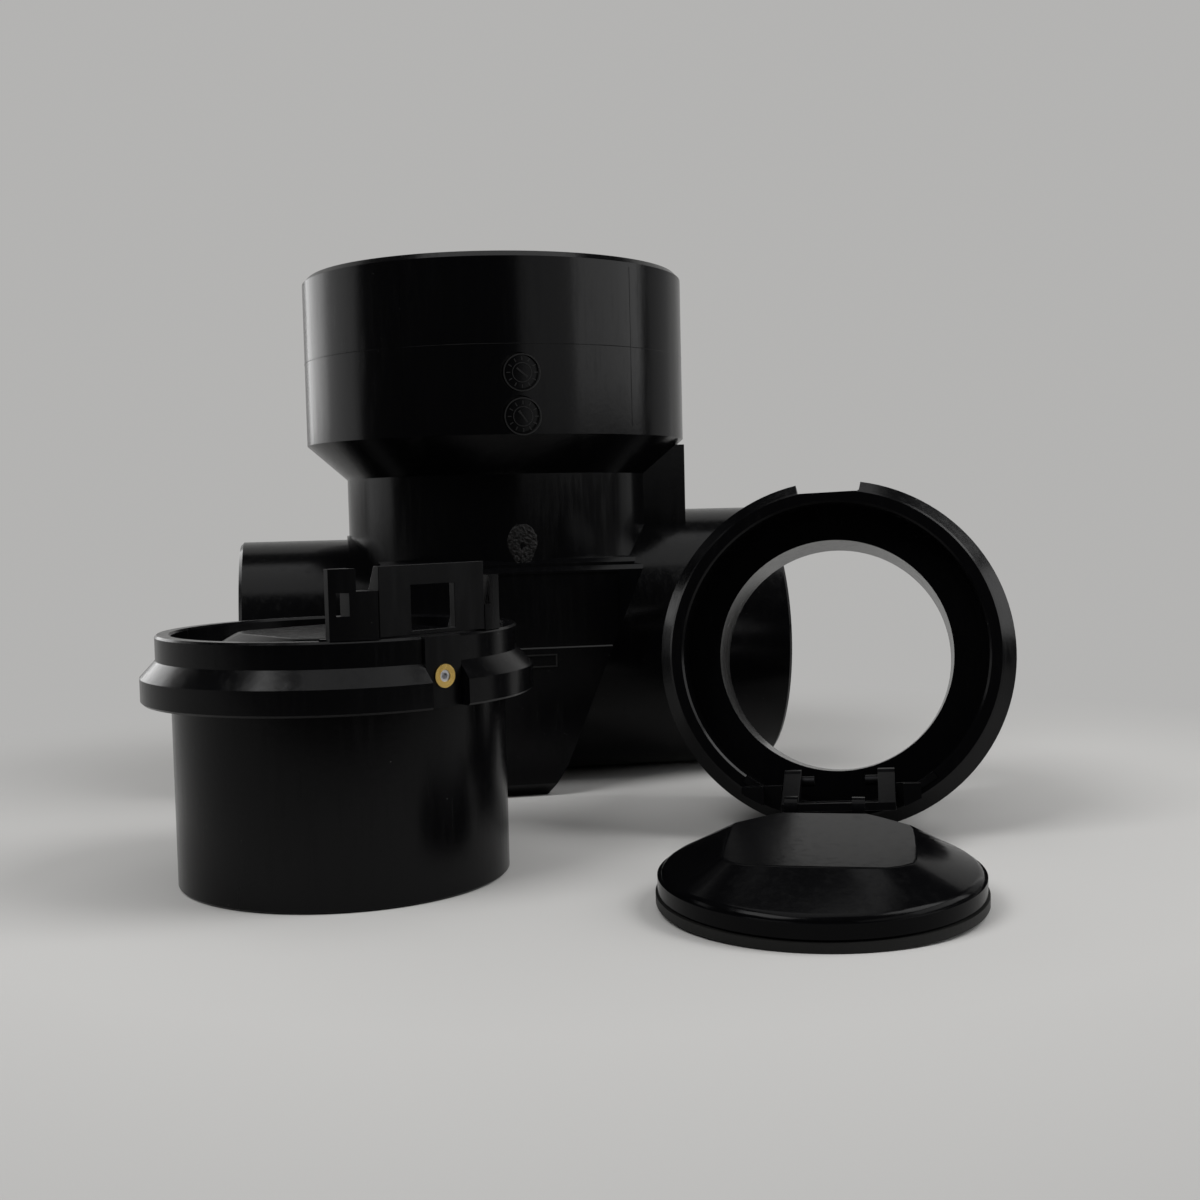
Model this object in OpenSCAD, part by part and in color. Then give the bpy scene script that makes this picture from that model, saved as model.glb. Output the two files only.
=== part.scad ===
// Drainage backwater valve: a moulded body with a tall riser socket, and two removable
// flapper cartridges that stand beside it. One cartridge is whole with its flapper shut,
// the other lies on its side with the flapper taken off and set down in front.
// Millimetres, +Z up, origin on the riser axis at the underside of the sump.

/* [Riser] */
// Outside diameter of the riser hub
riser_od = 188; // [182:1:200]
// Outside diameter of the riser pipe
riser_pipe = 168.3; // [165:0.1:171]
// Depth of the riser socket
riser_depth = 76; // [60:1:80]
// Height of the hub's lower edge above the table
riser_low = 166; // [160:1:176]
// Height of the hub wall, from its lower edge to its rim
riser_hub_h = 81; // [81:1:100]
// Chamfer on the outside of the riser rim
rim_chamfer = 2.5; // [1:0.5:4]

/* [Neck] */
// Height of the seat ledge for a cartridge inside the neck
ledge_z = 122; // [116:1:126]
// Thickness of the seat ledge
ledge_h = 14; // [12:1:16]
// Depth of the square pocket beside the neck, from the riser axis
pocket_reach = 90; // [88:1:94]
// Width of the square pocket
pocket_w = 60; // [40:1:70]

/* [Run] */
// Nominal outside diameter of the drain pipe
pipe_od = 114.3; // [112:0.1:116]
// Outside diameter of the inlet hub
inlet_od = 131; // [128:0.5:132]
// Depth of the inlet socket
inlet_depth = 44.5; // [38:0.5:48]
// Distance from the riser axis to the inlet end
inlet_reach = 133.5; // [130:0.5:150]
// Distance from the riser axis to the end of the outlet spigot
outlet_reach = 127.5; // [120:0.5:150]
// Fall from the inlet axis to the outlet axis
outlet_drop = 3; // [0:0.5:5]
// Bore of the waterway through the run
run_bore = 102; // [96:0.5:104]

/* [Chamber] */
// Width of the chamber between its flat sides
chamber_w = 158; // [156:1:166]
// Height of the ledge on top of the flat sides
chamber_top = 106; // [102:1:110]
// Left end of the chamber
chamber_left = 66; // [64:1:72]
// Right end of the chamber at its top
chamber_right = 58; // [52:1:62]
// Right end of the chamber just above its bottom chamfer
chamber_foot = 20; // [14:1:30]
// Wall of the neck and the chamber
body_wall = 3.4; // [3:0.1:4]
// Chamfer along the bottom of the chamber
sump_chamfer = 6; // [3:0.5:9]

/* [Cartridge sleeve] */
// Outside diameter of the plain tube
tube_od = 120.5; // [119:0.5:121]
// Length of the tube below the collar
tube_len = 67; // [60:1:72]
// Wall of the tube
tube_wall = 4; // [3:0.1:4.5]
// Reach of the collar band beyond the tube, on the radius
band_step = 10.55; // [9:0.05:12]
// Height of the collar band below its chamfer
band_h = 9; // [7:0.5:11]
// Height of the chamfer above the band
band_bevel = 6; // [4:0.5:8]
// Reach of the guard ring beyond the tube, on the radius
guard_step = 4.95; // [4:0.05:6]
// Wall of the guard ring
guard_wall = 5.6; // [4.6:0.1:6]
// Height of the guard ring above the chamfer
guard_h = 9; // [7:0.5:12]
// Reach of the seat inside the tube's outside, on the radius
seat_step = 13.25; // [12:0.05:15]
// Height of the seat face above the collar's lower face
seat_rise = 4; // [3.5:0.5:6]
// Length of the inner nozzle below the seat face
nozzle_len = 35; // [24:1:44]
// Width of the notch opposite the hinge
notch_w = 24; // [18:1:32]

/* [Hinge] */
// Distance of the hinge pins inside the guard ring's bore
pin_inset = 9.1; // [8.5:0.1:10]
// Height of the hinge pins above the flapper's sealing face
pin_rise = 16; // [14:0.5:17]
// Diameter of the hinge pins
pin_d = 4; // [3:0.25:4.5]
// Width of the lift frame
frame_w = 42.6; // [40:0.2:43]
// Height of the lift frame above the guard ring
frame_h = 24; // [20:0.5:28]
// Width of the window in the lift frame
window_w = 17.7; // [12:0.1:20]
// Height of the tall slotted post above the guard ring
tall_post_h = 23.5; // [18:0.5:28]
// Height of the short post above the guard ring
short_post_h = 16; // [15:0.5:20]
// Width of the pad that keys the hinge carrier into the collar
pad_w = 14.4; // [12:0.2:18]
// Diameter of the brass insert in the pad
insert_d = 8; // [7:0.5:9]
// Diameter of the steel set screw in the insert
screw_d = 4; // [3:0.5:5]

/* [Flapper] */
// Lap of the flapper over the seat, on the radius
seat_lap = 6.5; // [5:0.1:7]
// Thickness of the rubber gasket
gasket_h = 3.2; // [2.4:0.1:4]
// Height of the flapper rim above the gasket
flap_rim_h = 5.6; // [4:0.2:7]
// Height of the dome above the rim
dome_h = 10; // [8:0.5:13]
// Width of the flat on top of the dome
dome_top_w = 60; // [50:1:66]
// Reach of that flat from the sleeve axis, away from the hinge
dome_top_front = 28; // [24:0.5:32]
// Reach of that flat from the sleeve axis, toward the hinge
dome_top_rear = 36; // [28:0.5:38]
// Width of the front edge of that flat
dome_edge_w = 47; // [36:1:50]
// Wall of the dome
dome_wall = 3; // [2.4:0.1:4]

/* [Placing] */
// Left cartridge, across from the riser axis
left_x = -83.6; // [-110:0.2:-80]
// Left cartridge, in front of the riser axis
left_y = -200.5; // [-230:0.5:-196]
// Turn of the left cartridge's hinge from straight ahead
left_turn = 30.5; // [0:0.5:90]
// Rear end of the right cartridge, across from the riser axis
right_x = 140.8; // [130:0.2:160]
// Rear end of the right cartridge, in front of the riser axis
right_y = -113.4; // [-150:0.2:-108]
// Turn of the right cartridge's mouth from straight ahead
right_turn = -21.5; // [-25:0.5:0]
// Right cartridge rolled about its own axis
right_roll = 2; // [-5:0.5:5]
// Gap between the right cartridge's posts and its loose flapper
loose_gap = 14.5; // [4:0.5:20]
// Sideways shift of the loose flapper from the right cartridge's own axis
loose_shift = -1.5; // [-20:0.5:20]
// Turn of the loose flapper from the right cartridge's own axis
loose_turn = 0.5; // [-6:0.5:6]
// Tilt of the loose flapper, which is propped up at its tail
loose_tilt = 3; // [0:0.5:5]

/* [Hidden] */
$fn = 96;
eps = 0.05;
running_fit = 0.06;
seat_gap = 0.2;
fit_gap = 0.15;
socket_play = 0.7;
tube_play = 0.5;
neck_play = 1.6;
lug_play = 0.5;
tail_play = 0.5;

edge = 0.8;
band_od = tube_od + 2 * band_step;
guard_od = tube_od + 2 * guard_step;
seat_bore = tube_od - 2 * seat_step;
flap_d = seat_bore + 2 * seat_lap;
neck_bore = band_od + neck_play;
neck_od = neck_bore + 2 * body_wall;
riser_top = riser_low + riser_hub_h;
cone_h = (riser_od - neck_od) / 2 - 2;
neck_high = riser_low - cone_h;
riser_bore = riser_pipe + socket_play;
inlet_bore = pipe_od + socket_play;
stop_bore = riser_bore - 15;
riser_stop = riser_top - riser_depth;
inlet_z = inlet_od / 2;
outlet_z = inlet_z - outlet_drop;
inlet_wall = 6.5;
pipe_stop = 5;
hub_root = 12;
end_chamfer = 1.5;
root_ring = 2;
root_gap = 1;
foot_rise = 14;
foot_run = 9;
pocket_root = 20;
dial_r = 8.6;
dial_groove = 1;
dial_low = 8.5;
dial_high = 27.5;
panel_low = 68.5;
label_w = 19;
label_h = 6;
label_line = 0.7;
label_proud = 0.4;
label_drop = 8.5;
panel_high = chamber_top - 3;
tube_pass = tube_od + tube_play;
seal_d = 4.2;
seal_squeeze = 0.3;
seal_mid = ledge_z - ledge_h / 2;

tube_bore = tube_od - 2 * tube_wall;
band_top = tube_len + band_h;
guard_low = band_top + band_bevel;
guard_top = guard_low + guard_h;
guard_bore = guard_od - 2 * guard_wall;
seat_z = tube_len + seat_rise;
seat_t = 3.5;
seat_step_h = 3;
seat_step_bore = guard_bore - 4;
nozzle_wall = 3;
notch_r = guard_od / 2 - 1.6;
notch_slope = 1.5;
top_step_in = 3;
top_step_h = 3.4;
pin_z = seat_z + seat_gap + pin_rise;
carrier_low = guard_top - 7;
carrier_r = guard_od / 2 - 2.8;
carrier_span = 37;
carrier_top = guard_top + 0.5;
post_r = guard_od / 2 - 0.4;
frame_t = 3;
frame_out = post_r * cos(asin(frame_w / 2 / post_r)) - 0.1;
cheek_t = 6.5;
pin_offset = guard_bore / 2 - pin_inset;
lug_out = sqrt(pow(guard_bore / 2 - lug_play, 2) - pow(frame_w / 2, 2));
cheek_r = min(pin_d / 2 + 2.6, lug_out - pin_offset);
post_in = pin_offset + 1;
post_gap = 0.3;
frame_side = frame_w / 2 + post_gap;
short_post_w = 6.6;
tall_post_w = 7.8;
right_post_w = 9.2;
right_slot_w = 2.7;
post_slot_w = 3.8;
post_slot_low = guard_top + 8;
tall_side = frame_side + short_post_w + tall_post_w;
pad_r = guard_od / 2 + 1.3;
insert_z = tube_len + 10.5;
insert_len = 5;

// Heights in the flapper's own frame, counted from its sealing face
rim_low = gasket_h;
rim_high = rim_low + flap_rim_h;
dome_high = rim_high + dome_h;
flap_r = flap_d / 2;
gasket_lip = 0.7;
gasket_r = flap_r + gasket_lip;
tail_w = 56;
tail_y = guard_bore / 2 - 8.1;
rim_groove_h = 0.8;
rim_groove = 0.9;
base_d = seat_bore - 2.6;
ear_t = 4.6;
ear_gap = 0.5;
ear_in = frame_w / 2 - cheek_t - ear_gap - ear_t;
ear_r = pin_d / 2 + 3;
ear_foot = 16;

// Tilt of the sleeve that lies on its band and on the rear end of its tube
lie_tilt = atan((band_od - tube_od) / 2 / tube_len);
lie_z = tube_od / 2 * cos(lie_tilt);

// Cylinder along X from x0 to x1 on an axis at height z
module along_x(r, x0, x1, y = 0, z = 0) {
    translate([x0, y, z]) rotate([0, 90, 0]) cylinder(r = r, h = x1 - x0);
}

// Outline in X and Z, pulled through a width centred on y = 0
module slab_y(points, width) {
    rotate([90, 0, 0]) linear_extrude(height = width, center = true) polygon(points);
}

// Outline in Y and Z, pulled from x0 to x1
module slab_x(points, x0, x1) {
    translate([x0, 0, 0]) rotate([90, 0, 90]) linear_extrude(height = x1 - x0) polygon(points);
}

// Wedge of the plane below the Y axis, half_angle to each side
module hinge_sector(radius, half_angle, z0, z1) {
    translate([0, 0, z0]) linear_extrude(height = z1 - z0)
        polygon([[0, 0], [-radius * sin(half_angle), -radius * cos(half_angle)],
            [0, -radius * 1.3], [radius * sin(half_angle), -radius * cos(half_angle)]]);
}

// Valve body: one moulding, from the riser rim down to the sump
module chamber_block(inset, low, high) {
    half = chamber_w / 2 - inset;
    top_edge = 2;
    intersection() {
        slab_y([[-chamber_left + inset, low], [-chamber_left + inset, high], [chamber_right - inset, high],
            [chamber_foot - inset, low + foot_rise], [chamber_foot - inset - foot_run, low]], chamber_w + 2);
        slab_x([[-half + sump_chamfer, low], [-half, low + sump_chamfer], [-half, high - top_edge],
            [-half + top_edge, high], [half - top_edge, high], [half, high - top_edge],
            [half, low + sump_chamfer], [half - sump_chamfer, low]], -chamber_left - 1, chamber_right + 1);
    }
}

module body_outside() {
    rotate_extrude() polygon([[0, chamber_top - 10], [neck_od / 2, chamber_top - 10],
        [neck_od / 2, neck_high], [riser_od / 2, riser_low], [riser_od / 2, riser_top - rim_chamfer],
        [riser_od / 2 - rim_chamfer, riser_top], [0, riser_top]]);
    chamber_block(0, 0, chamber_top);
    // Second ledge, set back around the neck
    chamber_block(top_step_in, sump_chamfer, chamber_top + top_step_h);
    along_x(inlet_od / 2, hub_root, inlet_reach - end_chamfer, 0, inlet_z);
    translate([inlet_reach - end_chamfer - eps, 0, inlet_z]) rotate([0, 90, 0])
        cylinder(r1 = inlet_od / 2, r2 = inlet_od / 2 - end_chamfer, h = end_chamfer + eps);
    // Outlet spigot, with the ring at its root that stops the next fitting
    along_x(pipe_od / 2, -outlet_reach + end_chamfer, -chamber_left + 4, 0, outlet_z);
    translate([-outlet_reach + end_chamfer + eps, 0, outlet_z]) rotate([0, -90, 0])
        cylinder(r1 = pipe_od / 2, r2 = pipe_od / 2 - end_chamfer, h = end_chamfer + eps);
    along_x(pipe_od / 2 + root_ring, -neck_od / 2 - root_gap, -chamber_left + 4, 0, outlet_z);
    translate([neck_od / 2 - pocket_root, -pocket_w / 2, inlet_z + pocket_root])
        cube([pocket_reach - neck_od / 2 + pocket_root, pocket_w, riser_low - 3 - inlet_z - pocket_root]);
    // Raised frame of an empty label below the panel
    translate([-3, -chamber_w / 2 - label_proud, panel_low - label_drop]) difference() {
        cube([label_w, label_proud + 1, label_h]);
        translate([label_line, -1, label_line])
            cube([label_w - 2 * label_line, label_proud + 3, label_h - 2 * label_line]);
    }
}

module body_inside() {
    // Riser socket, its pipe stop and the neck down to the cartridge ledge
    rotate_extrude() polygon([[0, ledge_z], [neck_bore / 2, ledge_z], [neck_bore / 2, neck_high + 3],
        [stop_bore / 2, riser_stop], [riser_bore / 2, riser_stop], [riser_bore / 2, riser_top + 1],
        [0, riser_top + 1]]);
    // Ledge bore for the cartridge tube, with the groove of its seal
    translate([0, 0, ledge_z - ledge_h - 1]) cylinder(d = tube_pass, h = ledge_h + 2);
    translate([0, 0, seal_mid]) rotate_extrude()
        translate([tube_pass / 2 + seal_d / 2 - seal_squeeze, 0]) circle(d = seal_d, $fn = 32);
    // Chamber, waterway and the pocket beside the neck
    chamber_block(body_wall, body_wall, chamber_top - body_wall);
    translate([0, 0, chamber_top - body_wall - 1]) cylinder(d = tube_pass, h = ledge_z - chamber_top);
    along_x(run_bore / 2, 0, inlet_reach - inlet_depth + 1, 0, inlet_z);
    along_x(inlet_od / 2 - inlet_wall, chamber_foot, inlet_reach - inlet_depth - pipe_stop, 0, inlet_z);
    along_x(inlet_bore / 2, inlet_reach - inlet_depth, inlet_reach + 1, 0, inlet_z);
    along_x(run_bore / 2, -outlet_reach - 1, 0, 0, outlet_z);
    translate([neck_bore / 2 - pocket_root, -pocket_w / 2 + body_wall, ledge_z + 6])
        cube([pocket_reach - body_wall - neck_bore / 2 + pocket_root, pocket_w - 2 * body_wall,
            neck_high - ledge_z]);
}

// Shallow marks of the mould on the front: two dials and a bare panel
module mould_marks() {
    for (z = [riser_low + dial_low, riser_low + dial_high])
        translate([0, -riser_od / 2 + 1.4, z]) rotate([90, 0, 0]) difference() {
            cylinder(r = dial_r, h = 3);
            translate([0, 0, -1]) cylinder(r = dial_r - dial_groove, h = 5);
        }
    translate([-11, -chamber_w / 2 - 1, panel_low]) cube([57, 1.6, panel_high - panel_low]);
}

module valve_body() {
    color([0.03, 0.03, 0.032]) difference() {
        body_outside();
        body_inside();
        mould_marks();
    }
}

module neck_seal_ring() {
    color([0.06, 0.06, 0.06]) translate([0, 0, seal_mid]) rotate_extrude()
        translate([tube_pass / 2 + seal_d / 2 - seal_squeeze, 0]) circle(d = seal_d - 2 * eps, $fn = 32);
}

// Cartridge sleeve: plain tube, collar band, guard ring, seat and inner nozzle
module sleeve() {
    difference() {
        rotate_extrude() polygon([[tube_bore / 2, 0], [tube_od / 2 - edge, 0], [tube_od / 2, edge],
            [tube_od / 2, tube_len], [band_od / 2 - edge, tube_len], [band_od / 2, tube_len + edge],
            [band_od / 2, band_top], [guard_od / 2, guard_low], [guard_od / 2, guard_top - edge],
            [guard_od / 2 - edge, guard_top], [guard_bore / 2 + edge, guard_top],
            [guard_bore / 2, guard_top - edge], [guard_bore / 2, seat_z + seat_step_h],
            [seat_step_bore / 2, seat_z + seat_step_h],
            [seat_step_bore / 2, seat_z], [seat_bore / 2, seat_z], [seat_bore / 2, seat_z - nozzle_len],
            [seat_bore / 2 + nozzle_wall, seat_z - nozzle_len],
            [seat_bore / 2 + nozzle_wall, seat_z - seat_t], [tube_bore / 2, seat_z - seat_t]]);
        // Notch opposite the hinge, with sloped ends
        translate([0, 0, tube_len - 1]) linear_extrude(height = guard_top)
            polygon([[-notch_w / 2, notch_r], [notch_w / 2, notch_r],
                [notch_w / 2 + notch_slope, band_od / 2 + 1], [-notch_w / 2 - notch_slope, band_od / 2 + 1]]);
        // Room for the flapper's tail
        play = gasket_lip + tail_play;
        intersection() {
            translate([0, 0, seat_z]) linear_extrude(height = guard_top)
                polygon(flap_points(flap_r + play, tail_w / 2 + play, tail_y + play));
            translate([-band_od / 2, -band_od / 2, seat_z])
                cube([band_od, band_od / 2 - tail_y + 8, guard_top]);
        }
        // Slot for the pad of the hinge carrier
        slot_w = pad_w + 2 * fit_gap;
        translate([-slot_w / 2, -band_od, tube_len - 1])
            cube([slot_w, band_od - tube_od / 2 - fit_gap, guard_top]);
        translate([-slot_w / 2, -band_od, seat_z + seat_step_h])
            cube([slot_w, band_od - guard_bore / 2 + 1.6, guard_top]);
        // Rebate in the guard ring for the foot of the hinge carrier
        intersection() {
            translate([0, 0, carrier_low - fit_gap]) cylinder(r = carrier_r + fit_gap, h = guard_h + 9);
            hinge_sector(band_od, carrier_span + 0.3, carrier_low - fit_gap, guard_top + 1);
        }
    }
}

// Upright post on the guard ring, between x0 and x1
module post(x0, x1, height) {
    intersection() {
        translate([x0, -band_od / 2, guard_top]) cube([x1 - x0, band_od / 2 - post_in, height]);
        translate([0, 0, guard_top]) cylinder(r = post_r, h = height);
    }
}

// Hinge carrier: curved foot, keyed pad and the posts that guide the lift frame
module hinge_carrier() {
    tall = [-tall_side, -frame_side - short_post_w];
    short = [-frame_side - short_post_w, -frame_side];
    right = [frame_side, frame_side + right_post_w];
    intersection() {
        difference() {
            translate([0, 0, carrier_low]) cylinder(r = carrier_r, h = carrier_top - carrier_low);
            translate([0, 0, carrier_low - 1])
                cylinder(r = guard_bore / 2, h = carrier_top - carrier_low + 2);
        }
        hinge_sector(band_od, carrier_span, carrier_low, carrier_top);
    }
    // Pad through the collar, with the blind hole of the brass insert
    difference() {
        intersection() {
            cylinder(r = pad_r, h = guard_top);
            union() {
                translate([-pad_w / 2, -band_od, tube_len])
                    cube([pad_w, band_od - tube_od / 2 - 2 * fit_gap, guard_top]);
                translate([-pad_w / 2, -band_od, seat_z + seat_step_h + fit_gap])
                    cube([pad_w, band_od - guard_bore / 2 + 0.4, guard_top]);
            }
        }
        translate([0, -pad_r + insert_len, insert_z]) rotate([90, 0, 0])
            cylinder(d = insert_d + 2 * eps, h = insert_len + 1);
    }
    difference() {
        post(tall[0], tall[1], tall_post_h);
        translate([tall[0] + 2, -band_od / 2, post_slot_low])
            cube([post_slot_w, band_od / 2, 2 * post_slot_w]);
    }
    post(short[0], short[1], short_post_h);
    difference() {
        post(right[0], right[1], short_post_h + 3);
        translate([right[0] - 1, -band_od / 2, guard_top + 9]) cube([right_slot_w + 1, band_od / 2, frame_h]);
    }
}

// Lift frame: plate with a window for the lifting hook, and two cheeks that hold the hinge pins
module lift_frame() {
    low = carrier_top;
    high = guard_top + frame_h;
    plate_in = frame_out - frame_t;
    difference() {
        union() {
            translate([-frame_w / 2, -frame_out, low]) cube([frame_w, frame_t, high - low]);
            for (x = [-frame_w / 2, frame_w / 2 - cheek_t]) {
                slab_x([[-plate_in - 1, low], [-pin_offset - cheek_r, low], [-pin_offset - cheek_r, pin_z],
                    [-pin_offset + cheek_r, pin_z], [-plate_in, high], [-plate_in - 1, high]],
                    x, x + cheek_t);
                along_x(cheek_r, x, x + cheek_t, -pin_offset, pin_z);
            }
        }
        translate([-window_w / 2, -frame_out - 1, low + 1.5]) cube([window_w, frame_t + 2, high - low - 8.3]);
        along_x(pin_d / 2 + eps, -frame_w, frame_w, -pin_offset, pin_z);
    }
}

// Two stub pins, one through each cheek into the flapper's ear
module hinge_pins() {
    for (side = [-1, 1]) {
        x0 = side > 0 ? ear_in + fit_gap : -frame_w / 2 + fit_gap;
        along_x(pin_d / 2, x0, x0 + frame_w / 2 - ear_in - 2 * fit_gap, -pin_offset, pin_z);
    }
}

module brass_insert() {
    translate([0, -pad_r + insert_len - 0.1, insert_z]) rotate([90, 0, 0]) difference() {
        cylinder(d = insert_d, h = insert_len + 0.4);
        translate([0, 0, -1]) cylinder(d = screw_d + 2 * eps, h = insert_len + 3);
    }
}

module set_screw() {
    translate([0, -pad_r + insert_len - 0.1, insert_z]) rotate([90, 0, 0]) difference() {
        cylinder(d = screw_d, h = insert_len);
        translate([0, 0, insert_len - 2]) cylinder(d = screw_d * 0.6, h = 3, $fn = 6);
    }
}

// Outline of the flapper: an arc in front, and straight sides that run tangent from it to the tail
function flap_points(r, tail_half, tail) = let(
        reach = sqrt(tail_half * tail_half + tail * tail),
        start = atan2(tail_half, tail) + acos(r / reach),
        steps = 90)
    concat([[tail_half, -tail]],
        [for (i = [0:steps]) let(a = start + (360 - 2 * start) * i / steps) [r * sin(a), -r * cos(a)]],
        [[-tail_half, -tail]]);

// Radius of the eight-sided flat on top of the dome, in the direction a, drawn in by inset
function flat_r(a, inset) = let(
        front = dome_top_front - inset,
        rear = dome_top_rear - inset,
        side = dome_top_w / 2 - inset,
        corner = (dome_edge_w / 2 + dome_top_front) / sqrt(2) - inset)
    min([for (e = [[90, front], [270, rear], [0, side], [180, side],
            [45, corner], [135, corner], [225, corner], [315, corner]])
        let(c = cos(a - e[0])) c > 0.1 ? e[1] / c : 999]);

// Dome that runs from a round foot to the eight-sided flat, by way of the steps;
// each step is [share of the way in, share of the way up]
module dome(foot_r, foot_z, inset, top_z, steps) {
    sides = 48;
    rings = len(steps);
    rim = [for (step = steps) for (i = [0:sides - 1]) let(
            a = i * 360 / sides,
            r = foot_r + (flat_r(a, inset) - foot_r) * step[0])
        [r * cos(a), r * sin(a), foot_z + (top_z - foot_z) * step[1]]];
    skin = [for (k = [0:rings - 2]) for (i = [0:sides - 1]) let(j = (i + 1) % sides)
        each [[k * sides + i, (k + 1) * sides + i, k * sides + j],
            [k * sides + j, (k + 1) * sides + i, (k + 1) * sides + j]]];
    low_mid = rings * sides;
    ends = [for (i = [0:sides - 1]) let(j = (i + 1) % sides, up = (rings - 1) * sides)
        each [[i, j, low_mid], [up + j, up + i, low_mid + 1]]];
    polyhedron(concat(rim, [[0, 0, foot_z], [0, 0, top_z]]), concat(skin, ends));
}

// Flapper: grooved rim, hollow dome and the two ears that hang on the hinge pins
module flap_dome() {
    round_steps = [[0, 0], [0.02, 0.13], [0.09, 0.23], [0.94, 0.96], [1, 1]];
    difference() {
        union() {
            translate([0, 0, rim_low]) linear_extrude(height = rim_groove_h + eps)
                polygon(flap_points(flap_r - rim_groove, tail_w / 2 - rim_groove, tail_y - rim_groove));
            translate([0, 0, rim_low + rim_groove_h]) linear_extrude(height = flap_rim_h - rim_groove_h)
                polygon(flap_points(flap_r, tail_w / 2, tail_y));
            dome(flap_r - 1, rim_high - eps, 0, dome_high, round_steps);
            for (x = [-ear_in - ear_t, ear_in]) {
                along_x(ear_r, x, x + ear_t, -pin_offset, pin_rise);
                slab_x([[-tail_y + rim_groove, rim_low], [-tail_y, rim_high], [-pin_offset - ear_r, pin_rise],
                    [-pin_offset + ear_r, pin_rise], [-tail_y + ear_foot, pin_rise - 2],
                    [-tail_y + ear_foot, rim_low]], x, x + ear_t);
            }
        }
        dome(base_d / 2 - 2, rim_low - 1, dome_wall, dome_high - dome_wall, [[0, 0], [1, 1]]);
        along_x(pin_d / 2 + running_fit, -frame_w, frame_w, -pin_offset, pin_rise);
    }
}

module flap_base() {
    translate([0, 0, 2 * seat_gap]) cylinder(d = base_d, h = gasket_h - 2 * seat_gap);
}

module flap_gasket() {
    linear_extrude(height = gasket_h) difference() {
        polygon(flap_points(gasket_r, tail_w / 2 + gasket_lip, tail_y + gasket_lip));
        circle(d = base_d + 2 * fit_gap);
    }
}

// Where each cartridge stands
module place_left() {
    translate([left_x, left_y, 0]) rotate([0, 0, left_turn]) children();
}

module place_left_flap() {
    place_left() translate([0, 0, seat_z + seat_gap]) children();
}

module place_right() {
    translate([right_x, right_y, lie_z]) rotate([0, 0, right_turn]) rotate([90 - lie_tilt, 0, 0])
        rotate([0, 0, right_roll]) children();
}

module place_right_flap() {
    posts_reach = (guard_top + frame_h) * cos(lie_tilt) + frame_out * sin(lie_tilt);
    reach = posts_reach + loose_gap + pin_offset + ear_r;
    translate([right_x, right_y, 0]) rotate([0, 0, right_turn]) translate([loose_shift, -reach, 0])
        rotate([0, 0, 180 + loose_turn]) translate([0, gasket_r, 0]) rotate([-loose_tilt, 0, 0])
        translate([0, -gasket_r, 0]) children();
}

module left_sleeve() { color([0.03, 0.03, 0.032]) place_left() sleeve(); }
module left_hinge_carrier() { color([0.04, 0.04, 0.042]) place_left() hinge_carrier(); }
module left_lift_frame() { color([0.05, 0.05, 0.05]) place_left() lift_frame(); }
module left_hinge_pins() { color([0.6, 0.6, 0.62]) place_left() hinge_pins(); }
module left_brass_insert() { color([0.8, 0.6, 0.2]) place_left() brass_insert(); }
module left_set_screw() { color([0.75, 0.75, 0.78]) place_left() set_screw(); }
module left_flap_dome() { color([0.03, 0.03, 0.032]) place_left_flap() flap_dome(); }
module left_flap_base() { color([0.05, 0.05, 0.05]) place_left_flap() flap_base(); }
module left_flap_gasket() { color([0.08, 0.08, 0.08]) place_left_flap() flap_gasket(); }
module right_sleeve() { color([0.03, 0.03, 0.032]) place_right() sleeve(); }
module right_hinge_carrier() { color([0.04, 0.04, 0.042]) place_right() hinge_carrier(); }
module right_lift_frame() { color([0.05, 0.05, 0.05]) place_right() lift_frame(); }
module right_hinge_pins() { color([0.6, 0.6, 0.62]) place_right() hinge_pins(); }
module right_brass_insert() { color([0.8, 0.6, 0.2]) place_right() brass_insert(); }
module right_set_screw() { color([0.75, 0.75, 0.78]) place_right() set_screw(); }
module right_flap_dome() { color([0.03, 0.03, 0.032]) place_right_flap() flap_dome(); }
module right_flap_base() { color([0.05, 0.05, 0.05]) place_right_flap() flap_base(); }
module right_flap_gasket() { color([0.08, 0.08, 0.08]) place_right_flap() flap_gasket(); }

valve_body();
neck_seal_ring();
left_sleeve();
left_hinge_carrier();
left_lift_frame();
left_hinge_pins();
left_brass_insert();
left_set_screw();
left_flap_dome();
left_flap_base();
left_flap_gasket();
right_sleeve();
right_hinge_carrier();
right_lift_frame();
right_hinge_pins();
right_brass_insert();
right_set_screw();
right_flap_dome();
right_flap_base();
right_flap_gasket();
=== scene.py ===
"""Drain backwater valve: a black moulded body, a shut flapper cartridge and an open one beside it."""

import math

import bmesh
import bpy
from mathutils import Matrix, Vector, noise


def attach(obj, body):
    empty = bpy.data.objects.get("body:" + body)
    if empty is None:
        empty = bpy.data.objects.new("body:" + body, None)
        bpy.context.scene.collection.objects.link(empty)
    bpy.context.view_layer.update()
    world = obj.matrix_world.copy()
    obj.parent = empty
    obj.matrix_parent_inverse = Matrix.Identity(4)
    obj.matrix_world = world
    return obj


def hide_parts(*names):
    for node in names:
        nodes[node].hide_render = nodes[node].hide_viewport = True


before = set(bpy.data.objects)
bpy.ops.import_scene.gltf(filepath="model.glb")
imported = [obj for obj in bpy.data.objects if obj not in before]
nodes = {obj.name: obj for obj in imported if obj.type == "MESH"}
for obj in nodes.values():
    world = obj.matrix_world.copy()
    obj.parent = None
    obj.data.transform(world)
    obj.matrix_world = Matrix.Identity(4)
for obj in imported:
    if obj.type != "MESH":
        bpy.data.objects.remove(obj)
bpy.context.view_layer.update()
MM = 0.001

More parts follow.
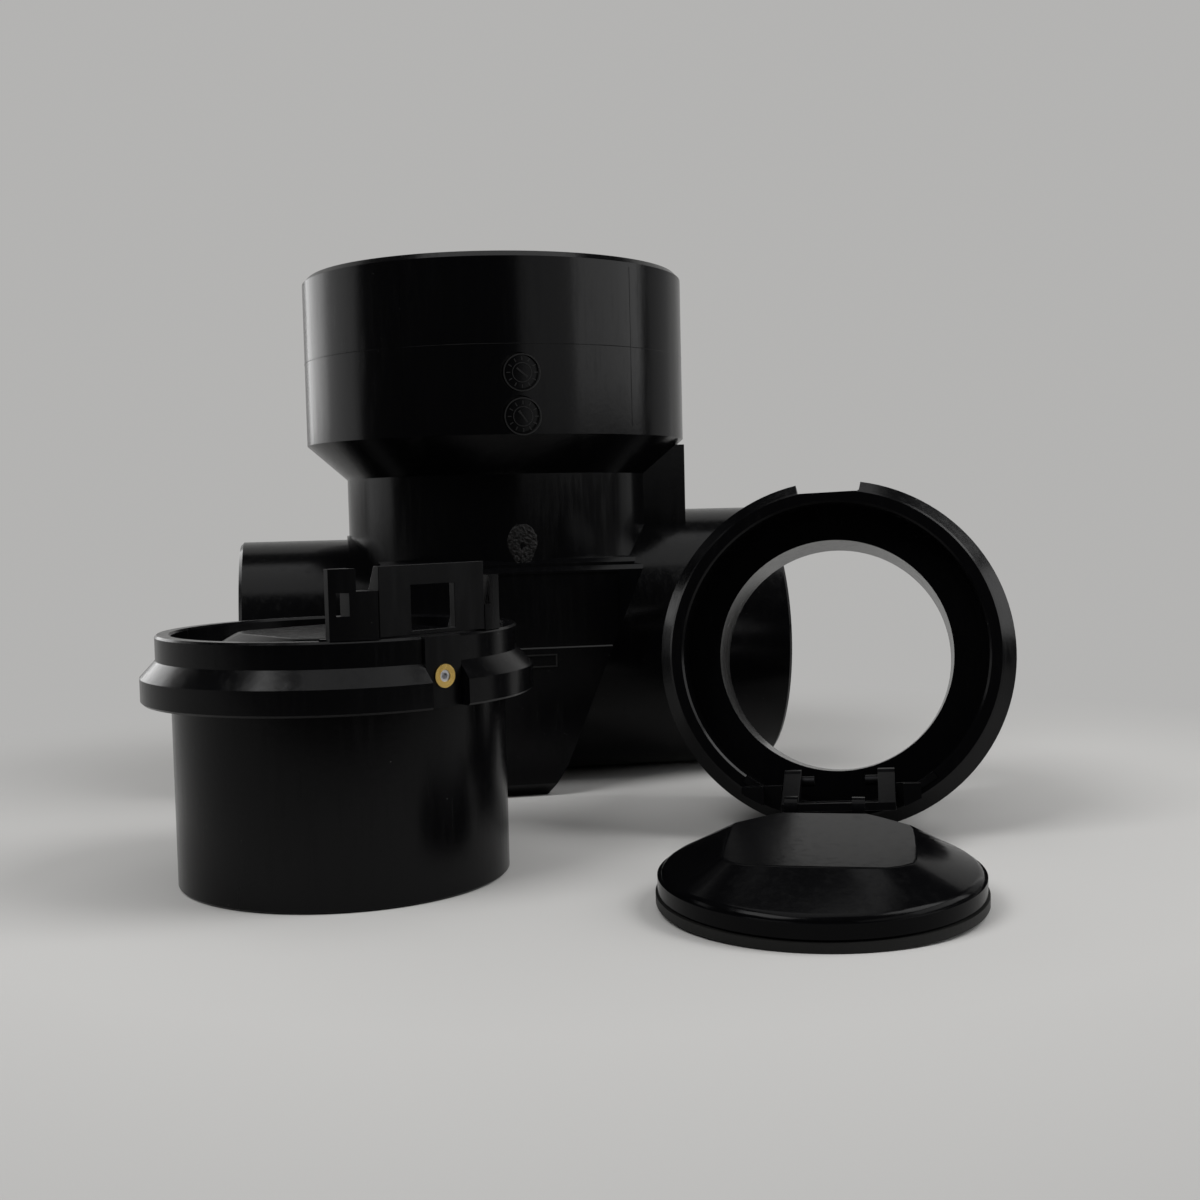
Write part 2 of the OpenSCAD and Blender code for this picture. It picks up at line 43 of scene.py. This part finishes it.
# Table and backdrop
# A pale grey paper sweep: flat under the valve, then curved up behind it.
# It is matt and keeps the parts' soft shadows; farther out it has one even tone, with no seam at its edge.


class Wire:
    """One socket of a material's node tree, with arithmetic that adds Math nodes."""

    def __init__(self, tree, socket):
        self.tree = tree
        self.socket = socket

    def node(self, kind, settings=None, **inputs):
        """Adds a node, sets what it is, then fills its sockets by name, or by number as i0, i1 and so on.

        It gives back a function that picks one of the node's outputs.
        """
        made = self.tree.nodes.new(kind)
        for key, value in (settings or {}).items():
            if key == "stops":
                ramp = made.color_ramp.elements
                while len(ramp) < len(value):
                    ramp.new(0.5)
                for stop, (place, shade) in zip(ramp, value):
                    stop.position = place
                    stop.color = (shade, shade, shade, 1.0)
            else:
                setattr(made, key, value)
        for name, value in inputs.items():
            numbered = name[0] == "i" and name[1:].isdigit()
            target = made.inputs[int(name[1:]) if numbered else name]
            if isinstance(value, Wire):
                self.tree.links.new(value.socket, target)
            else:
                target.default_value = value
        return lambda output=0: Wire(self.tree, made.outputs[output])

    def math(self, operation, first, second):
        return self.node("ShaderNodeMath", {"operation": operation}, i0=first, i1=second)()

    def __add__(self, other):
        return self.math("ADD", self, other)

    def __radd__(self, other):
        return self.math("ADD", other, self)

    def __rsub__(self, other):
        return self.math("SUBTRACT", other, self)

    def __mul__(self, other):
        return self.math("MULTIPLY", self, other)

    def above(self, level):
        return self.math("GREATER_THAN", self, level)

    def ramp(self, *stops):
        return self.node("ShaderNodeValToRGB", {"stops": stops}, Fac=self)()


class Finish:
    """A material with a Principled shader, and the patterns that its piece needs."""

    def __init__(self, name, **constants):
        self.material = bpy.data.materials.new(name)
        self.material.use_nodes = True
        self.tree = self.material.node_tree
        self.shader = self.tree.nodes["Principled BSDF"]
        for socket, value in constants.items():
            self.shader.inputs[socket.replace("_", " ")].default_value = value
        start = Wire(self.tree, None)
        self.place = start.node("ShaderNodeTexCoord")("Object")

    def feed(self, socket, wire):
        self.tree.links.new(wire.socket, self.shader.inputs[socket])

    def stretched(self, x, y, z):
        return self.place.node("ShaderNodeMapping", None, Vector=self.place, Scale=(x, y, z))()

    def cloud(self, scale, detail=3.0, roughness=0.55, at=None):
        spot = at or self.place
        return spot.node("ShaderNodeTexNoise", None, Vector=spot, Scale=scale, Detail=detail,
                         Roughness=roughness)()

    def specks(self, scale, size, at=None):
        spot = at or self.place
        cells = spot.node("ShaderNodeTexVoronoi", None, Vector=spot, Scale=scale)
        return 1 - cells("Distance").above(size)

    def blend_colours(self, factor, first, second):
        mixed = factor.node("ShaderNodeMix", {"data_type": "RGBA"}, i0=factor, i6=first, i7=second)
        return mixed(2)

    def bumped(self, height, strength, distance):
        bump = height.node("ShaderNodeBump", None, Height=height, Strength=strength, Distance=distance)
        self.feed("Normal", bump())


def from_bmesh(name, mesh_maker, body, finish, smooth=35.0):
    """Makes an object from a finished bmesh, lets it ride a body and gives it its finish."""
    mesh = bpy.data.meshes.new(name)
    bmesh.ops.recalc_face_normals(mesh_maker, faces=mesh_maker.faces)
    mesh_maker.to_mesh(mesh)
    mesh_maker.free()
    mesh.shade_smooth()
    mesh.set_sharp_from_angle(angle=math.radians(smooth))
    piece = bpy.data.objects.new(name, mesh)
    bpy.context.scene.collection.objects.link(piece)
    mesh.materials.append(finish.material)
    if body:
        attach(piece, body)
    return piece


SWEEP_HALF = 3.0
SWEEP_FRONT = -0.58
SWEEP_BACK = 1.5
SWEEP_CURVE = 0.7
SWEEP_RISE = 2.2
LIT_MIDDLE = (0.03, -0.12, 0)
LIT_REACH = 0.28
EVEN_REACH = 0.46

paper = Finish("pale_paper", Roughness=0.75, Specular_IOR_Level=0.15)
mottle = paper.cloud(2.2, 2.0)
paper.feed("Base Color", paper.blend_colours(mottle, (0.50, 0.495, 0.485, 1), (0.54, 0.535, 0.525, 1)))
offset = paper.place.node("ShaderNodeVectorMath", {"operation": "SUBTRACT"}, i0=paper.place, i1=LIT_MIDDLE)()
away = offset.node("ShaderNodeVectorMath", {"operation": "LENGTH"}, i0=offset)("Value")
far = away.ramp((LIT_REACH, 0.0), (EVEN_REACH, 1.0))
rays = paper.place.node("ShaderNodeLightPath")
seen = rays("Is Camera Ray") + rays("Is Glossy Ray") + rays("Is Transmission Ray")
even_glow = paper.place.node("ShaderNodeEmission", None, Color=(0.455, 0.452, 0.445, 1), Strength=1.0)()
lit_paper = Wire(paper.tree, paper.shader.outputs["BSDF"])
sweep_mix = paper.place.node("ShaderNodeMixShader", None, i0=far * seen, i1=lit_paper, i2=even_glow)()
paper.tree.links.new(sweep_mix.socket, paper.tree.nodes["Material Output"].inputs["Surface"])


def corners_of(geometry):
    """Picks the vertices out of what a bmesh operator made."""
    return [part for part in geometry if isinstance(part, bmesh.types.BMVert)]


sheet = bmesh.new()
edge_ends = [sheet.verts.new((across, SWEEP_FRONT, 0)) for across in (-SWEEP_HALF, SWEEP_HALF)]
edge = sheet.edges.new(edge_ends)
floor_run = bmesh.ops.extrude_edge_only(sheet, edges=[edge])["geom"]
bmesh.ops.translate(sheet, verts=corners_of(floor_run), vec=(0, SWEEP_BACK - SWEEP_FRONT, 0))
last_edge = [g for g in floor_run if isinstance(g, bmesh.types.BMEdge)
             and all(v.co.y > SWEEP_BACK - 0.01 for v in g.verts)]
bmesh.ops.spin(sheet, geom=last_edge, cent=(0, SWEEP_BACK, SWEEP_CURVE), axis=(1, 0, 0),
               angle=math.radians(90), steps=24)
top_edge = [e for e in sheet.edges if all(abs(v.co.z - SWEEP_CURVE) < 0.001 for v in e.verts)]
wall_run = bmesh.ops.extrude_edge_only(sheet, edges=top_edge)["geom"]
bmesh.ops.translate(sheet, verts=corners_of(wall_run), vec=(0, 0, SWEEP_RISE))
backdrop = from_bmesh("paper_sweep", sheet, None, paper)

# Valve body
# One injection moulding of black plastic: riser socket, cone, neck, flat-sided chamber and run.
# The skin is glossy, with faint flow marks, fine scuffs and a little dust.


def black_plastic(name, gloss, dust, seed, shine=0.13):
    """Black moulded plastic: gloss is its least roughness, and seed moves its pattern."""
    finish = Finish(name, Specular_IOR_Level=shine, IOR=1.53)
    shifted = finish.place.node("ShaderNodeMapping", None, Vector=finish.place,
                                Location=(seed, seed * 0.7, seed * 1.3))()
    flow = finish.cloud(9.0, 3.0, at=shifted)
    peel = finish.cloud(420.0, 2.0, at=shifted)
    scuff = finish.cloud(60.0, 6.0, 0.7, at=finish.stretched(6.0, 6.0, 0.6))
    motes = finish.specks(260.0, 0.035, at=shifted) * flow.above(0.53) * dust
    shade = finish.blend_colours(flow, (0.0012, 0.0012, 0.0015, 1), (0.0026, 0.0026, 0.0029, 1))
    finish.feed("Base Color", finish.blend_colours(motes, shade, (0.11, 0.11, 0.105, 1)))
    finish.feed("Roughness", gloss + flow * 0.09 + scuff.ramp((0.48, 0.0), (0.72, 1.0)) * 0.10 + motes * 0.3)
    finish.bumped(peel * 0.12 + flow * 1.0 + scuff * 0.06, 0.22, 0.0006)
    return finish


body_black = black_plastic("body_plastic", 0.13, 0.5, 0.0)


def dress(node, finish):
    """Gives a CAD solid its finish and leaves its mesh as it is."""
    piece = nodes[node]
    piece.data.materials.clear()
    piece.data.materials.append(finish.material)


dress("valve_body", body_black)

# Moulded marks on the body
# Two plain dials, a panel's fillet, an empty frame, parting lines and the scar of the cut-off sprue.
# All are part of the same moulding, a fraction of a millimetre out of the skin.
HUB_RADIUS = 94.0 * MM
NECK_RADIUS = 75.0 * MM
SKIN_BITE = 0.12 * MM


def wrap_round(bm, radius, across, height):
    """Lays a flat drawing, x across, y up and z proud, on the front of an upright cylinder."""
    for vert in bm.verts:
        turn = across / radius + vert.co.x / radius
        reach = radius + vert.co.z
        vert.co = (reach * math.sin(turn), -reach * math.cos(turn), height + vert.co.y)


def add_bar(bm, middle, length, width, thick, turn):
    """Adds one raised bar to a flat drawing; it starts a little below the skin."""
    made = bmesh.ops.create_cube(bm, size=1.0)["verts"]
    bmesh.ops.scale(bm, verts=made, vec=(length, width, thick + SKIN_BITE))
    bmesh.ops.translate(bm, verts=made, vec=(0, 0, (thick - SKIN_BITE) / 2))
    bmesh.ops.rotate(bm, verts=made, cent=(0, 0, 0), matrix=Matrix.Rotation(turn, 3, "Z"))
    bmesh.ops.translate(bm, verts=made, vec=middle)


def add_ring(bm, inner, outer, thick):
    """Adds one raised flat ring to a flat drawing."""
    corners = [(inner, 0, -SKIN_BITE), (outer, 0, -SKIN_BITE), (outer, 0, thick), (inner, 0, thick)]
    loop = [bm.verts.new(c) for c in corners]
    edges = [bm.edges.new((loop[i], loop[(i + 1) % 4])) for i in range(4)]
    bmesh.ops.spin(bm, geom=loop + edges, cent=(0, 0, 0), axis=(0, 0, 1), angle=math.tau, steps=64,
                   use_merge=True)


dial_black = Finish("dial_plastic", Specular_IOR_Level=0.3)
frost = dial_black.cloud(800.0, 3.0)
dial_shade = dial_black.blend_colours(frost, (0.003, 0.003, 0.003, 1), (0.009, 0.009, 0.009, 1))
dial_black.feed("Base Color", dial_shade)
dial_black.feed("Roughness", 0.40 + frost * 0.2)

DIALS = ((173.8 * MM, 2.2), (193.2 * MM, -0.7))
DIAL_ACROSS = 1.2 * MM
DIAL_RINGS = ((7.8 * MM, 8.4 * MM), (4.1 * MM, 4.5 * MM))
RING_PROUD = 0.22 * MM
TICKS = 12
TICK_RADIUS = 6.1 * MM
TICK_PROUD = 0.2 * MM
POINTER_PROUD = 0.28 * MM
BARB_RADIUS = 2.3 * MM
BARB_SPREAD = 0.6
for number, (height, pointer) in enumerate(DIALS, 1):
    dial = bmesh.new()
    for inner, outer in DIAL_RINGS:
        add_ring(dial, inner, outer, RING_PROUD)
    for tick in range(TICKS):
        turn = tick * math.tau / TICKS
        tick_middle = (TICK_RADIUS * math.cos(turn), TICK_RADIUS * math.sin(turn), 0)
        add_bar(dial, tick_middle, 1.7 * MM, 0.5 * MM, TICK_PROUD, turn)
    add_bar(dial, (0, 0, 0), 6.2 * MM, 0.7 * MM, POINTER_PROUD, pointer)
    for barb in (-BARB_SPREAD, BARB_SPREAD):
        barb_middle = (BARB_RADIUS * math.cos(pointer), BARB_RADIUS * math.sin(pointer), 0)
        add_bar(dial, barb_middle, 1.6 * MM, 0.5 * MM, POINTER_PROUD, pointer + barb)
    wrap_round(dial, HUB_RADIUS, DIAL_ACROSS, height)
    from_bmesh("date_dial_%d" % number, dial, "body", dial_black)

FRONT_FACE = 79.0 * MM
PANEL_SUNK = 0.6 * MM
PANEL_LEFT = -11.0 * MM
PANEL_WIDE = 53.2 * MM
PANEL_FOOT = 68.5 * MM
lip = bmesh.new()
lip_corners = ((0, 0), (PANEL_SUNK, 0), (PANEL_SUNK, PANEL_SUNK))
lip_verts = [lip.verts.new((PANEL_LEFT, deep - FRONT_FACE, PANEL_FOOT + up)) for deep, up in lip_corners]
lip_end = lip.faces.new(lip_verts)
lip_run = bmesh.ops.extrude_face_region(lip, geom=[lip_end])["geom"]
bmesh.ops.translate(lip, verts=corners_of(lip_run), vec=(PANEL_WIDE, 0, 0))
from_bmesh("panel_fillet", lip, "body", dial_black)

FRAME_MIDDLE = (6.5 * MM, 63.0 * MM)
FRAME_WIDE = 19.0 * MM
FRAME_TALL = 6.0 * MM
FRAME_LINE = 0.7 * MM
FRAME_UPRIGHT = FRAME_TALL - FRAME_LINE * 2.1
FRAME_PROUD = 0.05 * MM
FRAME_SKIN = 79.4 * MM
outline = bmesh.new()
for side in (-1, 1):
    level_middle = (0, side * (FRAME_TALL - FRAME_LINE) / 2, 0)
    add_bar(outline, level_middle, FRAME_WIDE, FRAME_LINE, FRAME_PROUD, 0.0)
    upright_middle = (side * (FRAME_WIDE - FRAME_LINE) / 2, 0, 0)
    add_bar(outline, upright_middle, FRAME_LINE, FRAME_UPRIGHT, FRAME_PROUD, 0.0)
for vert in outline.verts:
    vert.co = (FRAME_MIDDLE[0] + vert.co.x, -FRAME_SKIN - vert.co.z, FRAME_MIDDLE[1] + vert.co.y)
from_bmesh("empty_frame_lines", outline, "body", dial_black)

line = bmesh.new()
ridge = ((-SKIN_BITE, 205.75 * MM), (0.14 * MM, 206.0 * MM), (-SKIN_BITE, 206.25 * MM))
RIDGE_START = math.radians(120)
RIDGE_SWEEP = math.radians(300)
ridge_verts = []
for proud, height in ridge:
    reach = HUB_RADIUS + proud
    ridge_verts.append(line.verts.new((reach * math.cos(RIDGE_START), reach * math.sin(RIDGE_START), height)))
ridge_face = line.faces.new(ridge_verts)
bmesh.ops.spin(line, geom=[ridge_face], cent=(0, 0, 0), axis=(0, 0, 1), angle=RIDGE_SWEEP, steps=140)
from_bmesh("parting_line_round", line, "body", body_black)

HUB_FOOT = 168.0 * MM
PARTING_MIDDLE = 38.0 * MM
PARTING_TALL = 73.0 * MM
PARTING_WIDE = 0.5 * MM
PARTING_PROUD = 0.10 * MM
for side, across in (("left", -54.0 * MM), ("right", 58.0 * MM)):
    line = bmesh.new()
    add_bar(line, (0, PARTING_MIDDLE, 0), PARTING_WIDE, PARTING_TALL, PARTING_PROUD, 0.0)
    wrap_round(line, HUB_RADIUS, across, HUB_FOOT)
    from_bmesh("parting_line_" + side, line, "body", body_black)

SCAR_HALF = 7.4 * MM
SCAR_TALL = 11.5 * MM
SCAR_WIDEST = 0.15
SCAR_ACROSS = 1.9 * MM
SCAR_HEIGHT = 114.6 * MM
scar = bmesh.new()
bmesh.ops.create_grid(scar, x_segments=44, y_segments=64, size=1.0)
for vert in scar.verts:
    across, up = vert.co.x, vert.co.y
    if up < SCAR_WIDEST:
        waist = 0.10 + 0.90 * ((up + 1.0) / 1.15) ** 0.85
    else:
        waist = math.sqrt(max(0.04, 1.0 - ((up - SCAR_WIDEST) / 0.87) ** 2))
    rim = max(abs(across), abs(up))
    spot = Vector((across * 4.0, up * 6.0, 0.0))
    rough = noise.noise(spot) + 0.7 * noise.noise(spot * 2.3) + 0.5 * noise.noise(spot * 5.1)
    pit = max(0.0, 1.0 - math.hypot(across * SCAR_HALF, (up - 0.1) * SCAR_TALL) / (2.2 * MM))
    proud = 0.45 * MM * (1.0 + rough) * (1.0 - rim ** 6) - 1.0 * MM * pit
    ragged = 1.0 + 0.10 * noise.noise(Vector((up * 7.0, across * 3.0, 2.0)))
    vert.co = (across * SCAR_HALF * waist * ragged, up * SCAR_TALL, proud - SKIN_BITE * rim ** 6)
wrap_round(scar, NECK_RADIUS, SCAR_ACROSS, SCAR_HEIGHT)
scar_black = Finish("scar_plastic", Specular_IOR_Level=0.2)
torn = scar_black.cloud(700.0, 4.0, 0.65)
scar_shade = scar_black.blend_colours(torn, (0.001, 0.001, 0.001, 1), (0.006, 0.005, 0.005, 1))
scar_black.feed("Base Color", scar_shade)
scar_black.feed("Roughness", 0.30 + torn * 0.3)
scar_black.bumped(torn, 0.7, 0.0009)
sprue_scar = from_bmesh("sprue_scar", scar, "body", scar_black, 60.0)
sprue_scar.modifiers.new("thickness", "SOLIDIFY").thickness = 0.3 * MM

# Neck seal ring
# A rubber ring in the neck's ledge, which seals the tube of a cartridge.
# It is softer in shine than the plastic, with a faint bloom.
seal_black = Finish("seal_rubber", Specular_IOR_Level=0.16)
bloom = seal_black.cloud(70.0, 4.0)
seal_shade = seal_black.blend_colours(bloom, (0.006, 0.006, 0.006, 1), (0.014, 0.014, 0.013, 1))
seal_black.feed("Base Color", seal_shade)
seal_black.feed("Roughness", 0.42 + bloom * 0.22)
seal_black.bumped(seal_black.cloud(900.0, 2.0), 0.15, 0.0003)
dress("neck_seal_ring", seal_black)

# Cartridges
# Each is a black sleeve with a keyed hinge carrier, a lift frame between its posts and two stub pins.
# A brass insert in the carrier's pad holds a small steel set screw, and a hollow flapper closes the mouth.
cartridge_black = black_plastic("cartridge_plastic", 0.15, 1.0, 3.1)
frame_black = black_plastic("frame_plastic", 0.24, 0.6, 7.7)
# The flappers mirror less than the rest, to bring the loose one's flat top nearer to its tone in the photo.
flap_black = black_plastic("flap_plastic", 0.12, 1.0, 5.2, 0.06)


def softened(node, body, finish, smooth, ease):
    """Stands for a CAD solid: the same shape with its facets blended and its crisp edges eased."""
    copy = bmesh.new()
    copy.from_mesh(nodes[node].data)
    bmesh.ops.remove_doubles(copy, verts=copy.verts, dist=0.002 * MM)
    bmesh.ops.dissolve_limit(copy, angle_limit=math.radians(0.4), verts=copy.verts, edges=copy.edges)
    crisp = [e for e in copy.edges if len(e.link_faces) == 2 and e.calc_face_angle() > math.radians(40)]
    bmesh.ops.bevel(copy, geom=crisp, offset=ease, offset_type="OFFSET", segments=2, profile=0.5,
                    affect="EDGES", clamp_overlap=True, material=-1)
    bmesh.ops.dissolve_degenerate(copy, dist=0.004 * MM, edges=copy.edges)
    piece = from_bmesh(node + "_moulded", copy, body, finish, smooth)
    piece.modifiers.new("even_shading", "WEIGHTED_NORMAL").keep_sharp = True
    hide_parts(node)


dark_steel = Finish("pin_dark_steel", Metallic=1.0, Roughness=0.45)
oxide = dark_steel.cloud(500.0, 3.0)
pin_shade = dark_steel.blend_colours(oxide, (0.010, 0.010, 0.011, 1), (0.028, 0.028, 0.029, 1))
dark_steel.feed("Base Color", pin_shade)

steel = Finish("screw_steel", Metallic=1.0)
turned = steel.cloud(300.0, 3.0)
steel.feed("Base Color", steel.blend_colours(turned, (0.55, 0.55, 0.57, 1), (0.70, 0.70, 0.71, 1)))
steel.feed("Roughness", 0.22 + turned * 0.16)

brass = Finish("insert_brass", Metallic=1.0)
tarnish = brass.cloud(420.0, 3.0)
brass.feed("Base Color", brass.blend_colours(tarnish, (0.83, 0.53, 0.13, 1), (0.93, 0.68, 0.24, 1)))
brass.feed("Roughness", 0.16 + tarnish * 0.14)

FRAME_EASE = 0.3 * MM
FLAP_EASE = 0.35 * MM
for side in ("left", "right"):
    dress(side + "_sleeve", cartridge_black)
    for holder in ("_hinge_carrier", "_lift_frame"):
        softened(side + holder, side + "_cartridge", frame_black, 32.0, FRAME_EASE)
    dress(side + "_hinge_pins", dark_steel)
    dress(side + "_brass_insert", brass)
    dress(side + "_set_screw", steel)
    softened(side + "_flap_dome", side + "_flapper", flap_black, 38.0, FLAP_EASE)
    dress(side + "_flap_base", cartridge_black)
    dress(side + "_flap_gasket", seal_black)

# Studio
# Two high soft lamps, a dim panel overhead, three at the right and two at the left. The room gives the parts
# little light, and is pale where the camera looks past the paper. The camera is the one fitted to the photo.
CAMERA_PLACE = (-0.0888, -0.7578, 0.1319)
CAMERA_HEADING = math.radians(10.47)
CAMERA_PITCH = 0.0606
CAMERA_ROLL = 0.0236
FOCAL_PIXELS = 1498.448
FRAME_PIXELS = 1200
lens = bpy.data.cameras.new("camera")
lens.sensor_width = 36.0
lens.sensor_fit = "HORIZONTAL"
lens.lens = FOCAL_PIXELS / FRAME_PIXELS * lens.sensor_width
lens.clip_start = 0.01
camera = bpy.data.objects.new("camera", lens)
camera.matrix_world = (Matrix.Translation(CAMERA_PLACE)
                       @ Matrix.Rotation(-CAMERA_HEADING, 4, "Z")
                       @ Matrix.Rotation(math.pi / 2 - CAMERA_PITCH, 4, "X")
                       @ Matrix.Rotation(-CAMERA_ROLL, 4, "Z"))
bpy.context.scene.collection.objects.link(camera)
bpy.context.scene.camera = camera


def soft_lamp(name, place, target, width, height, watts):
    """Hangs a rectangular area lamp at a place and turns it toward a target."""
    light = bpy.data.lights.new(name, "AREA")
    light.shape = "RECTANGLE"
    light.size = width
    light.size_y = height
    light.energy = watts
    lamp = bpy.data.objects.new(name, light)
    aim = Vector(target) - Vector(place)
    lamp.matrix_world = Matrix.Translation(place) @ aim.to_track_quat("-Z", "Y").to_matrix().to_4x4()
    bpy.context.scene.collection.objects.link(lamp)


soft_lamp("high_left", (-1.00, -0.75, 1.45), (0.0, -0.15, 0.05), 0.9, 0.9, 17.5)
soft_lamp("high_right", (1.15, -0.60, 1.45), (0.05, -0.15, 0.05), 0.9, 0.9, 15.0)
soft_lamp("overhead", (0.10, -0.10, 1.75), (0.10, -0.10, 0.0), 1.2, 1.2, 6.0)
soft_lamp("right_panel", (1.50, -0.70, 0.62), (0.0, -0.05, 0.25), 1.55, 0.7, 8.6)
soft_lamp("front_right_panel", (0.70, -1.50, 0.55), (0.0, -0.05, 0.22), 1.0, 0.7, 1.8)
soft_lamp("right_rear_panel", (1.45, 0.55, 0.40), (0.0, 0.0, 0.20), 0.8, 0.6, 0.6)
soft_lamp("left_strip", (-1.12, 1.24, 0.58), (0.0, 0.0, 0.25), 1.05, 0.7, 5.5)
soft_lamp("left_panel", (-1.50, 0.42, 0.40), (0.0, 0.0, 0.20), 0.8, 0.6, 2.0)

ROOM_GLOW = 0.02
ROOM_SEEN = 0.43
world = bpy.data.worlds.new("dim_room")
world.use_nodes = True
room = Wire(world.node_tree, None)
room_strength = ROOM_GLOW + room.node("ShaderNodeLightPath")("Is Camera Ray") * ROOM_SEEN
room_light = world.node_tree.nodes["Background"]
room_light.inputs["Color"].default_value = (1.0, 0.995, 0.98, 1)
world.node_tree.links.new(room_strength.socket, room_light.inputs["Strength"])
bpy.context.scene.world = world
bpy.context.scene.view_settings.view_transform = "Standard"
